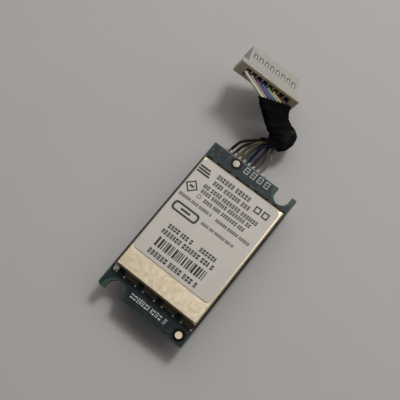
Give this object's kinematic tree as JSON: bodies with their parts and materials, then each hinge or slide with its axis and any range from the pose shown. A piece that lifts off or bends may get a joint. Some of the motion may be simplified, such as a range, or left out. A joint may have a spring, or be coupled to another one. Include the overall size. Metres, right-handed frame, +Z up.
{
  "type": "laptop wireless module with lead",
  "caption": "Small radio board under a folded metal shield can with a label, with a short taped wire lead from a header below to a free plug.",
  "frame": {"origin": "on the surface that the module lies on, under the middle of the board", "axes": "+Y along the board towards the end that the lead leaves, +X across the board to the right with the label up, +Z up from the surface"},
  "size_m": [0.0238, 0.0522, 0.0112],
  "materials": {
    "solder_mask_board": "satin blue-green solder mask over glass laminate",
    "tinned_can": "tinned sheet, lightly rolled",
    "label_paper": "matt grey label with black print",
    "moulded_black": "matt moulded",
    "crystal_lid": "satin lid",
    "pale_ceramic": "fired, matt",
    "brown_ceramic": "fired, with tinned ends",
    "dark_film": "dark film on ceramic, with tinned ends",
    "black_foam": "fine open foam",
    "header_nylon": "satin moulded",
    "tinned_pin": "bright tin plate",
    "white_nylon": "natural satin moulded",
    "tinned_contact": "bright tin plate",
    "cloth_tape": "matt woven cloth tape",
    "wire_black": "satin insulation",
    "wire_brown": "satin insulation",
    "wire_yellow": "satin insulation",
    "wire_green": "satin insulation",
    "wire_blue": "satin insulation",
    "wire_purple": "satin insulation",
    "wire_grey": "satin insulation",
    "wire_white": "satin insulation"
  },
  "bodies": {
    "root": {"band_filter": "pale_ceramic", "board_header": "header_nylon", "chip_aerial": "pale_ceramic", "chip_capacitor_1": "brown_ceramic", "chip_capacitor_2": "brown_ceramic", "chip_capacitor_3": "brown_ceramic", "chip_resistor_1": "dark_film", "chip_resistor_2": "dark_film", "circuit_board": "solder_mask_board", "crystal": "crystal_lid", "header_anchor_left": "tinned_pin", "header_anchor_right": "tinned_pin", "header_pin_1": "tinned_pin", "header_pin_2": "tinned_pin", "header_pin_3": "tinned_pin", "header_pin_4": "tinned_pin", "header_pin_5": "tinned_pin", "header_pin_6": "tinned_pin", "header_pin_7": "tinned_pin", "header_pin_8": "tinned_pin", "laptop_contact_1": "tinned_contact", "laptop_contact_2": "tinned_contact", "laptop_contact_3": "tinned_contact", "laptop_contact_4": "tinned_contact", "laptop_contact_5": "tinned_contact", "laptop_contact_6": "tinned_contact", "laptop_contact_7": "tinned_contact", "laptop_contact_8": "tinned_contact", "laptop_plug": "white_nylon", "memory_chip": "moulded_black", "module_contact_1": "tinned_contact", "module_contact_2": "tinned_contact", "module_contact_3": "tinned_contact", "module_contact_4": "tinned_contact", "module_contact_5": "tinned_contact", "module_contact_6": "tinned_contact", "module_contact_7": "tinned_contact", "module_contact_8": "tinned_contact", "module_plug": "white_nylon", "product_label": "label_paper", "radio_chip": "moulded_black", "shield_can": "tinned_can", "spacer_pad": "black_foam", "tape_wrap": "cloth_tape", "underside_capacitor_1": "brown_ceramic", "underside_capacitor_2": "brown_ceramic", "voltage_regulator": "moulded_black", "wire_black": "wire_black", "wire_blue": "wire_blue", "wire_brown": "wire_brown", "wire_green": "wire_green", "wire_grey": "wire_grey", "wire_purple": "wire_purple", "wire_white": "wire_white", "wire_yellow": "wire_yellow"}
  },
  "joints": []
}
